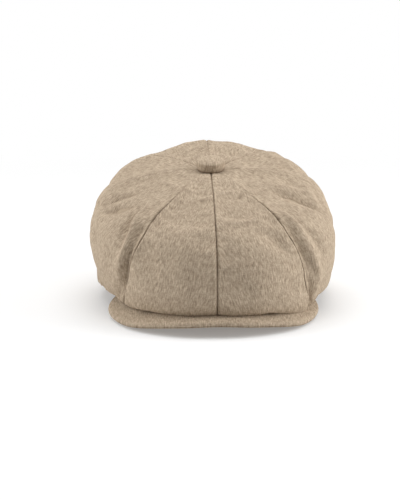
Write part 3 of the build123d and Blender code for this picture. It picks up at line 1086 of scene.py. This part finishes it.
def make_button():
    """The covered button, seated tilted on the crown, with painted shade along its edge where it meets the
    cloth.
    """
    bpy.ops.object.select_all(action="DESELECT")
    bpy.ops.mesh.primitive_cylinder_add(vertices=64, radius=BUTTON_RADIUS, depth=BUTTON_DEPTH,
                                        location=(0, 0, BUTTON_MIDDLE), end_fill_type="NGON")
    button = bpy.context.active_object
    button.name = "button_cloth"
    bpy.ops.object.transform_apply(location=True, rotation=True, scale=True)
    select_faces(button, 1)
    for inset, rise in BUTTON_TOP:
        bpy.ops.mesh.inset(thickness=inset, depth=0)
        bpy.ops.transform.translate(value=(0, 0, rise))
    bpy.ops.object.mode_set(mode="OBJECT")
    select_faces(button, -1)
    for inset in BUTTON_BACK:
        bpy.ops.mesh.inset(thickness=inset, depth=0)
    bpy.ops.object.mode_set(mode="OBJECT")
    smooth = button.modifiers.new("Smooth", "SUBSURF")
    smooth.levels = smooth.render_levels = 2
    apply_modifiers(button)
    layer = button.data.uv_layers.active
    for loop in button.data.loops:
        at = button.data.vertices[loop.vertex_index].co
        layer.data[loop.index].uv = (at.x, at.y - at.z)
    cosine, sine = math.cos(BUTTON_PITCH), math.sin(BUTTON_PITCH)
    painted_shade_marks = button.data.attributes.new("seam", "FLOAT", "POINT")
    for vertex in button.data.vertices:
        x, y, z = vertex.co
        # painted shade on the button's lower side, strongest at its seat
        painted_shade_marks.data[vertex.index].value = BUTTON_SHADE * clamp((SHADE_TOP - z) / SHADE_RUN)
        swell = 1 + BUTTON_UNEVEN * noise.noise(Vector((x * 160, y * 160, 3.0)))
        x, y = x * swell, y * swell
        vertex.co = BUTTON_SEAT + Vector((x, y * cosine - z * sine, y * sine + z * cosine))
    finish_piece(button, OUTER, "cap", "outer_cloth", "button_cover")


# ---------------------------------------------------------------- build

make_crown()
make_lining()
make_band()
make_trim()
make_peak()
make_button()
for node in ("button_shell", "button_back_plate", "button_washer", "button_shank"):
    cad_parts[node].data.materials.clear()
    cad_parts[node].data.materials.append(STEEL)


# ---------------------------------------------------------------- table, light and camera


LOOK_AT = Vector((0, 0, 0.066))
LAMPS_AT = Vector((0, 0, 0.05))
CAMERA_DISTANCE = 1.35
CAMERA_ELEVATION = math.radians(11)
CAMERA_ASIDE = math.radians(2.5)
TABLE_RADIUS = 2.4
TABLE_SWEEP = (-0.10, 1.0)  # distances between which the table fades into the white room
ROOM_SPREAD = (-0.9, 0.2)  # directions, from in front to behind, over which the room grows lighter
ROOM_LIGHT = (0.12, 0.62)
LAMPS = (
    # name, place, width and power
    ("overhead softbox", (0.0, 0.15, 1.6), 1.5, 15),
    ("left softbox", (-1.4, 0.0, 0.6), 1.2, 13),
    ("right softbox", (1.4, -0.1, 0.6), 1.2, 18),
)


def aim(obj, target):
    """Turns a lamp or camera so that it looks at a point."""
    obj.rotation_euler = (target - obj.location).to_track_quat("-Z", "Y").to_euler()


def make_table():
    """A round white table that fades into the room."""
    bpy.ops.object.select_all(action="DESELECT")
    bpy.ops.mesh.primitive_circle_add(vertices=128, radius=TABLE_RADIUS, fill_type="NGON")
    floor = bpy.context.active_object
    floor.name = "table"
    paint = bpy.data.materials.new("table white")
    paint.use_nodes = True
    tree = paint.node_tree
    shader = tree.nodes["Principled BSDF"]
    shader.inputs["Base Color"].default_value = (0.88, 0.88, 0.88, 1)
    shader.inputs["Roughness"].default_value = 0.9
    place = tree.nodes.new("ShaderNodeTexCoord")
    distance = tree.nodes.new("ShaderNodeVectorMath")
    distance.operation = "LENGTH"
    tree.links.new(place.outputs["Object"], distance.inputs[0])
    glow = tree.nodes.new("ShaderNodeEmission")
    sweep = tree.nodes.new("ShaderNodeMixShader")
    tree.links.new(ranged(tree, distance.outputs["Value"], *TABLE_SWEEP), sweep.inputs["Fac"])
    tree.links.new(shader.outputs[0], sweep.inputs[1])
    tree.links.new(glow.outputs[0], sweep.inputs[2])
    tree.links.new(sweep.outputs[0], tree.nodes["Material Output"].inputs["Surface"])
    floor.data.materials.append(paint)


def make_room():
    """A room that looks white, and lights the object more from behind than from the front."""
    world = bpy.data.worlds.new("pale room")
    bpy.context.scene.world = world
    world.use_nodes = True
    tree = world.node_tree
    room = tree.nodes["Background"]
    room.inputs["Color"].default_value = (1, 1, 1, 1)
    place = tree.nodes.new("ShaderNodeTexCoord")
    parts = tree.nodes.new("ShaderNodeSeparateXYZ")
    tree.links.new(place.outputs["Generated"], parts.inputs[0])
    strength = ranged(tree, parts.outputs["Y"], *ROOM_SPREAD, *ROOM_LIGHT)
    tree.links.new(strength, room.inputs["Strength"])
    seen = tree.nodes.new("ShaderNodeBackground")
    seen.inputs["Color"].default_value = (1, 1, 1, 1)
    seen.inputs["Strength"].default_value = 1.0
    path = tree.nodes.new("ShaderNodeLightPath")
    choice = tree.nodes.new("ShaderNodeMixShader")
    tree.links.new(path.outputs["Is Camera Ray"], choice.inputs["Fac"])
    tree.links.new(room.outputs[0], choice.inputs[1])
    tree.links.new(seen.outputs[0], choice.inputs[2])
    tree.links.new(choice.outputs[0], tree.nodes["World Output"].inputs["Surface"])


def make_lamps():
    """One large lamp overhead and one on each side."""
    for name, place, size, power in LAMPS:
        lamp = bpy.data.lights.new(name, "AREA")
        lamp.size = size
        lamp.energy = power
        obj = bpy.data.objects.new(name, lamp)
        bpy.context.collection.objects.link(obj)
        obj.location = place
        aim(obj, LAMPS_AT)


def make_camera():
    """A long lens in front of the cap, a little above it and to one side."""
    camera = bpy.data.objects.new("camera", bpy.data.cameras.new("camera"))
    bpy.context.collection.objects.link(camera)
    level = math.cos(CAMERA_ELEVATION)
    camera.location = LOOK_AT + CAMERA_DISTANCE * Vector(
        (-level * math.sin(CAMERA_ASIDE), -level * math.cos(CAMERA_ASIDE), math.sin(CAMERA_ELEVATION))
    )
    aim(camera, LOOK_AT)
    camera.data.sensor_width = 36
    camera.data.lens = 102.3
    camera.data.shift_x = -0.0210
    camera.data.shift_y = -0.040
    bpy.context.scene.camera = camera


make_table()
make_room()
make_lamps()
make_camera()
bpy.context.scene.view_settings.view_transform = "Standard"
